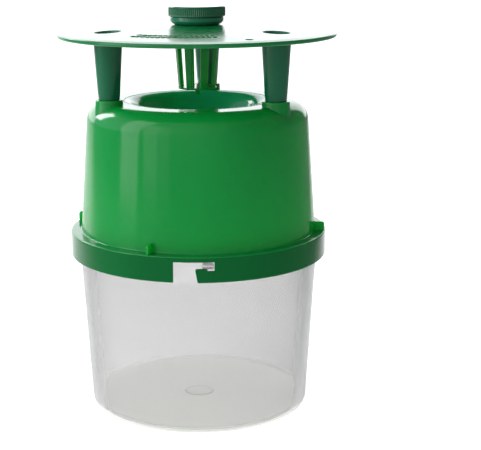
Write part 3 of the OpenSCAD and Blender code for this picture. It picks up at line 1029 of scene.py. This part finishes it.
def make_stopper():
    """Stopper: a head in the cap's boss and a plug in the vial."""
    low, top, r = STOPPER_LOW.z, STOPPER_HIGH.z, STOPPER_HIGH.x
    seat = VIAL_HIGH.z + STOPPER_PLAY
    plug = VIAL_HIGH.x - VIAL_WALL - STOPPER_PLAY
    outline = rounded([
        (0, low, 0), (plug - 0.3, low, 0.3), (plug, low + 0.8, 0.4), (plug, seat, 0.05), (r, seat, 0.25),
        (r, top, 0.35), (0, top, 0)], steps=4)
    stopper = lathe("stopper_head", outline, segments=72)
    finish_piece(stopper, milky, "lure", "vial_stopper")


# ---------------------------------------------------------------- studio, in metres
FLOOR_HALF = 6.0
# Where the floor's glow fades: a direction, whose length scales what follows, and the fade's start and end
FLOOR_FADES = (((0.25, -1, 0), 0.13, 0.36), ((1, -0.22, 0), 0.19, 0.36), ((-1, -0.8, 0), 0.17, 0.5))
LIGHT_TARGET = Vector((0, 0, 0.15))
# White screen: slant of its two sides, and cosines between which its sides and its upper edge fade in
SCREEN_SLANT = (1.25, 0.28, 0)
SCREEN_SIDE = (-0.08, 0.02)
SCREEN_TOP = (0.66, 0.58)
ROOM_LIGHT = (0.22, 0.22, 0.225)
CAMERA_PLACE = (0, -0.7705, 0.2906)
CAMERA_PITCH = math.radians(13.2)
CAMERA_ROLL = math.radians(-0.4)


def make_floor():
    """Plain pale floor that glows round and behind the part, and fades to grey in front and at the sides."""
    bm = bmesh.new()
    signs = ((-1, -1), (1, -1), (1, 1), (-1, 1))
    bm.faces.new([bm.verts.new((x * FLOOR_HALF, y * FLOOR_HALF, 0)) for x, y in signs])
    floor = object_from("studio_floor", bm)
    material = bpy.data.materials.new("pale_floor")
    material.use_nodes = True
    tree = material.node_tree
    shader = tree.nodes["Principled BSDF"]
    place = own_place(tree)
    fades = [span(tree, vector_node(tree, "DOT_PRODUCT", place, direction), start, end)
             for direction, start, end in FLOOR_FADES]
    far = fades[0]
    for fade in fades[1:]:
        far = math_node(tree, "MAXIMUM", far, fade)
    colour = ramp(tree, far, [(0, grey(0.93)), (1, grey(0.45))])
    glow = ramp(tree, far, [(0, grey(0.6)), (1, grey(0))])
    tree.links.new(colour, shader.inputs["Base Color"])
    tree.links.new(glow, shader.inputs["Emission Color"])
    shader.inputs["Emission Strength"].default_value = 1
    shader.inputs["Roughness"].default_value = 0.8
    shader.inputs["Specular IOR Level"].default_value = 0.1
    floor.data.materials.append(material)


def sky_direction(tree):
    """Direction in which the sky is looked up."""
    return node(tree, "ShaderNodeTexCoord").outputs["Generated"]


def sky_lobe(tree, direction, start, full, colour):
    """Patch of brightness round a direction, from nothing at the cosine start to all of colour at full."""
    along = vector_node(tree, "DOT_PRODUCT", sky_direction(tree), Vector(direction).normalized())
    return vector_scale(tree, colour, span(tree, along, start, full))


def backdrop(tree, colour):
    """Lit white screen behind the part: crisp sides 46 degrees left and 30 right, up to 38 degrees high."""
    place = sky_direction(tree)
    split = node(tree, "ShaderNodeSeparateXYZ")
    tree.links.new(place, split.inputs["Vector"])
    aside = math_node(tree, "ABSOLUTE", vector_node(tree, "DOT_PRODUCT", place, SCREEN_SLANT))
    inside = math_node(tree, "SUBTRACT", split.outputs["Y"], aside)
    across = span(tree, inside, *SCREEN_SIDE)
    up = span(tree, split.outputs["Z"], *SCREEN_TOP)
    return vector_scale(tree, colour, math_node(tree, "MULTIPLY", across, up))


def make_world():
    """White studio: very bright screen behind, soft light from the left, dim room in front."""
    world = bpy.data.worlds.new("studio")
    bpy.context.scene.world = world
    world.use_nodes = True
    tree = world.node_tree
    patches = [
        backdrop(tree, (2.9, 2.85, 3.05)),
        sky_lobe(tree, (-1, 0.25, 0.1), start=0.7, full=0.95, colour=(0.38, 0.4, 0.7)),
        sky_lobe(tree, (-0.7, -0.7, 0.3), start=0.0, full=0.9, colour=(0.55, 0.55, 0.55))]
    light = ROOM_LIGHT
    for patch in patches:
        light = vector_node(tree, "ADD", light, patch)
    tree.links.new(light, tree.nodes["Background"].inputs["Color"])


def area_light(name, place, size, power):
    """Rectangular soft box aimed at the part."""
    data = bpy.data.lights.new(name, "AREA")
    data.shape = "RECTANGLE"
    data.size, data.size_y = size
    data.energy = power
    light = bpy.data.objects.new(name, data)
    light.location = place
    light.rotation_euler = (LIGHT_TARGET - Vector(place)).to_track_quat("-Z", "Y").to_euler()
    bpy.context.scene.collection.objects.link(light)


def make_lights():
    """Soft boxes in a row on the left, weaker towards the front, and a window behind on the left."""
    area_light("soft_box_left", (-1.13, -0.39, 0.65), size=(0.55, 1.5), power=6.2)
    area_light("middle_box", (-1.10, -1.02, 0.6), size=(0.42, 1.2), power=2.0)
    area_light("faint_box", (-0.82, -1.26, 0.6), size=(0.31, 1.2), power=0.6)
    area_light("window_back_left", (-0.87, 0.655, 0.68), size=(0.26, 0.5), power=5.5)


def make_camera():
    """Camera at the viewing height and distance of a table-top product shot."""
    data = bpy.data.cameras.new("camera")
    data.sensor_fit = "HORIZONTAL"
    data.sensor_width = 36
    data.lens = 96.5
    data.shift_x = 0.0877
    data.clip_start = 0.05
    data.clip_end = 50
    camera = bpy.data.objects.new("camera", data)
    camera.location = CAMERA_PLACE
    camera.rotation_euler = (Matrix.Rotation(math.pi / 2 - CAMERA_PITCH, 3, "X")
                             @ Matrix.Rotation(CAMERA_ROLL, 3, "Z")).to_euler()
    bpy.context.scene.collection.objects.link(camera)
    bpy.context.scene.camera = camera


make_bucket()
make_housing()
make_funnel()
make_lid()
for leg_name in LEG_ANGLES:
    make_leg(leg_name)
make_cage()
make_collar()
make_cap()
make_vial()
make_stopper()
make_floor()
make_world()
make_lights()
make_camera()
bpy.context.scene.view_settings.view_transform = "Standard"
